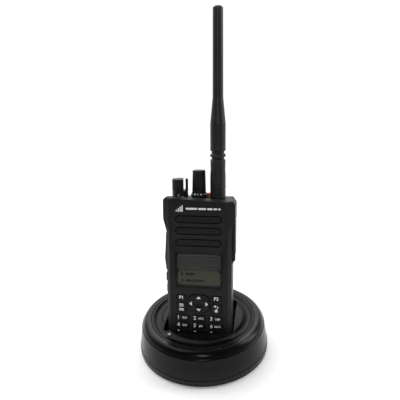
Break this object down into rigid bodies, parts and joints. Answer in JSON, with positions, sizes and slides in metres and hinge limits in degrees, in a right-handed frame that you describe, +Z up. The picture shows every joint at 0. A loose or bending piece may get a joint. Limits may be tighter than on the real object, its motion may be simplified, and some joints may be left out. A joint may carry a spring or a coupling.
{
  "type": "two-way radio with desktop charger",
  "caption": "Handheld two-way radio with keypad, display, knobs and whip antenna, standing in its round desktop charger.",
  "frame": {"origin": "middle of the charger's footprint, on the surface it stands on", "axes": "+Z up, -Y the way the radio faces, +X to the right as seen from the front"},
  "size_m": [0.108, 0.108, 0.2705],
  "materials": {
    "housing_black": "fine moulded texture",
    "key_black": "smooth satin",
    "knob_rubber": "satin",
    "antenna_rubber": "satin",
    "charger_black": "semi gloss",
    "battery_black": "fine moulded texture",
    "window": "clear, glossy",
    "display_panel": "liquid crystal",
    "foot_rubber": "matte",
    "mat_rubber": "matte",
    "inlet_black": "matte",
    "lamp_clear": "frosted clear",
    "alert_orange": "satin",
    "steel": "bright",
    "dark_steel": "blackened",
    "brass": "bright",
    "contact_gold": "gold plated",
    "cast_metal": "as cast",
    "board_green": "solder mask",
    "cell_wrap": "shrink wrap",
    "speaker_black": "matte",
    "contact_panel": "matte"
  },
  "bodies": {
    "charger": {"charger_base": "charger_black", "charger_feet": "foot_rubber", "charger_screws": "steel", "charger_shell": "charger_black", "charger_well": "charger_black", "charger_lamp": "lamp_clear", "charger_board": "board_green", "charger_jack": "inlet_black", "charger_contact_block": "charger_black"},
    "contact_pins": {"charger_pins": "contact_gold"},
    "radio": {"front_housing": "housing_black", "chassis": "cast_metal", "housing_screws": "dark_steel", "speaker_grille": "housing_black", "speaker": "speaker_black", "display_lens": "window", "display_module": "display_panel", "microphone": "steel", "main_board": "board_green", "keypad_membrane": "mat_rubber", "volume_switch": "steel", "channel_switch": "steel", "led_lens": "lamp_clear", "antenna_socket": "brass", "accessory_connector": "contact_panel", "battery_case": "battery_black", "battery_lid": "battery_black", "battery_cells": "cell_wrap", "battery_contacts": "contact_gold"},
    "volume_control": {"volume_knob": "knob_rubber", "volume_shaft": "steel"},
    "channel_control": {"channel_knob": "knob_rubber", "channel_shaft": "steel"},
    "antenna": {"antenna_core": "brass", "antenna_sheath": "antenna_rubber"},
    "emergency": {"emergency_button": "alert_orange"},
    "talk_button": {"ptt_button": "key_black"},
    "upper_button": {"side_button_upper": "key_black"},
    "lower_button": {"side_button_lower": "key_black"},
    "port_cover": {"accessory_cover": "housing_black"},
    "port_screw": {"accessory_screw": "dark_steel"},
    "latch": {"battery_latch": "housing_black"},
    "nav_rocker": {"nav_pivot": "mat_rubber"},
    "nav_pad": {"key_nav": "key_black"},
    "key_1_cap": {"key_1": "key_black"},
    "key_2_cap": {"key_2": "key_black"},
    "key_3_cap": {"key_3": "key_black"},
    "key_4_cap": {"key_4": "key_black"},
    "key_5_cap": {"key_5": "key_black"},
    "key_6_cap": {"key_6": "key_black"},
    "key_7_cap": {"key_7": "key_black"},
    "key_8_cap": {"key_8": "key_black"},
    "key_9_cap": {"key_9": "key_black"},
    "key_star_cap": {"key_star": "key_black"},
    "key_0_cap": {"key_0": "key_black"},
    "key_hash_cap": {"key_hash": "key_black"},
    "key_p1_cap": {"key_p1": "key_black"},
    "key_p2_cap": {"key_p2": "key_black"},
    "key_menu_cap": {"key_menu": "key_black"},
    "key_back_cap": {"key_back": "key_black"}
  },
  "joints": [
    {"name": "radio_lift", "type": "slide", "parent": "charger", "child": "radio", "axis": [0, 0.2079, 0.9781], "range_m": [0, 0.06]},
    {"name": "volume_turn", "type": "hinge", "parent": "radio", "child": "volume_control", "pos_m": [-0.0171, 0.01866, 0.13522], "axis": [0, 0.2079, 0.9781], "range_deg": [-135, 135]},
    {"name": "channel_turn", "type": "hinge", "parent": "radio", "child": "channel_control", "pos_m": [-0.0018, 0.01866, 0.13522], "axis": [0, 0.2079, 0.9781], "range_deg": [-168.75, 168.75]},
    {"name": "antenna_turn", "type": "hinge", "parent": "radio", "child": "antenna", "pos_m": [0.0133, 0.01866, 0.13522], "axis": [0, 0.2079, 0.9781], "continuous": true},
    {"name": "cover_open", "type": "hinge", "parent": "radio", "child": "port_cover", "pos_m": [0.02715, 0.00897, 0.12451], "axis": [0, -0.9781, 0.2079], "range_deg": [0, 95]},
    {"name": "cover_screw_turn", "type": "hinge", "parent": "port_cover", "child": "port_screw", "pos_m": [0.0268, -0.00014, 0.08432], "axis": [1, 0, 0], "continuous": true},
    {"name": "emergency_press", "type": "slide", "parent": "radio", "child": "emergency", "axis": [0, -0.2079, -0.9781], "range_m": [0, 0.0008], "stiffness_N_per_m": 600},
    {"name": "talk_press", "type": "slide", "parent": "radio", "child": "talk_button", "axis": [1, 0, 0], "range_m": [0, 0.0008], "stiffness_N_per_m": 800},
    {"name": "upper_button_press", "type": "slide", "parent": "radio", "child": "upper_button", "axis": [1, 0, 0], "range_m": [0, 0.0005], "stiffness_N_per_m": 600},
    {"name": "lower_button_press", "type": "slide", "parent": "radio", "child": "lower_button", "axis": [1, 0, 0], "range_m": [0, 0.0005], "stiffness_N_per_m": 600},
    {"name": "latch_slide", "type": "slide", "parent": "radio", "child": "latch", "axis": [0, -0.9781, 0.2079], "range_m": [0, 0.002], "stiffness_N_per_m": 400},
    {"name": "contact_pins_press", "type": "slide", "parent": "charger", "child": "contact_pins", "axis": [0, 0.9781, -0.2079], "range_m": [0, 0.0008], "stiffness_N_per_m": 300},
    {"name": "nav_rock_up_down", "type": "hinge", "parent": "radio", "child": "nav_rocker", "pos_m": [0, -0.01335, 0.05053], "axis": [1, 0, 0], "range_deg": [-2, 2], "stiffness_Nm_per_rad": 0.05},
    {"name": "nav_rock_left_right", "type": "hinge", "parent": "nav_rocker", "child": "nav_pad", "pos_m": [0, -0.01335, 0.05053], "axis": [0, 0.2079, 0.9781], "range_deg": [-2, 2], "stiffness_Nm_per_rad": 0.05},
    {"name": "key_1_press", "type": "slide", "parent": "radio", "child": "key_1_cap", "axis": [0, 0.9781, -0.2079], "range_m": [0, 0.0004], "stiffness_N_per_m": 500},
    {"name": "key_2_press", "type": "slide", "parent": "radio", "child": "key_2_cap", "axis": [0, 0.9781, -0.2079], "range_m": [0, 0.0004], "stiffness_N_per_m": 500},
    {"name": "key_3_press", "type": "slide", "parent": "radio", "child": "key_3_cap", "axis": [0, 0.9781, -0.2079], "range_m": [0, 0.0004], "stiffness_N_per_m": 500},
    {"name": "key_4_press", "type": "slide", "parent": "radio", "child": "key_4_cap", "axis": [0, 0.9781, -0.2079], "range_m": [0, 0.0004], "stiffness_N_per_m": 500},
    {"name": "key_5_press", "type": "slide", "parent": "radio", "child": "key_5_cap", "axis": [0, 0.9781, -0.2079], "range_m": [0, 0.0004], "stiffness_N_per_m": 500},
    {"name": "key_6_press", "type": "slide", "parent": "radio", "child": "key_6_cap", "axis": [0, 0.9781, -0.2079], "range_m": [0, 0.0004], "stiffness_N_per_m": 500},
    {"name": "key_7_press", "type": "slide", "parent": "radio", "child": "key_7_cap", "axis": [0, 0.9781, -0.2079], "range_m": [0, 0.0004], "stiffness_N_per_m": 500},
    {"name": "key_8_press", "type": "slide", "parent": "radio", "child": "key_8_cap", "axis": [0, 0.9781, -0.2079], "range_m": [0, 0.0004], "stiffness_N_per_m": 500},
    {"name": "key_9_press", "type": "slide", "parent": "radio", "child": "key_9_cap", "axis": [0, 0.9781, -0.2079], "range_m": [0, 0.0004], "stiffness_N_per_m": 500},
    {"name": "key_star_press", "type": "slide", "parent": "radio", "child": "key_star_cap", "axis": [0, 0.9781, -0.2079], "range_m": [0, 0.0004], "stiffness_N_per_m": 500},
    {"name": "key_0_press", "type": "slide", "parent": "radio", "child": "key_0_cap", "axis": [0, 0.9781, -0.2079], "range_m": [0, 0.0004], "stiffness_N_per_m": 500},
    {"name": "key_hash_press", "type": "slide", "parent": "radio", "child": "key_hash_cap", "axis": [0, 0.9781, -0.2079], "range_m": [0, 0.0004], "stiffness_N_per_m": 500},
    {"name": "key_p1_press", "type": "slide", "parent": "radio", "child": "key_p1_cap", "axis": [0, 0.9781, -0.2079], "range_m": [0, 0.0004], "stiffness_N_per_m": 500},
    {"name": "key_p2_press", "type": "slide", "parent": "radio", "child": "key_p2_cap", "axis": [0, 0.9781, -0.2079], "range_m": [0, 0.0004], "stiffness_N_per_m": 500},
    {"name": "key_menu_press", "type": "slide", "parent": "radio", "child": "key_menu_cap", "axis": [0, 0.9781, -0.2079], "range_m": [0, 0.0004], "stiffness_N_per_m": 500},
    {"name": "key_back_press", "type": "slide", "parent": "radio", "child": "key_back_cap", "axis": [0, 0.9781, -0.2079], "range_m": [0, 0.0004], "stiffness_N_per_m": 500}
  ]
}
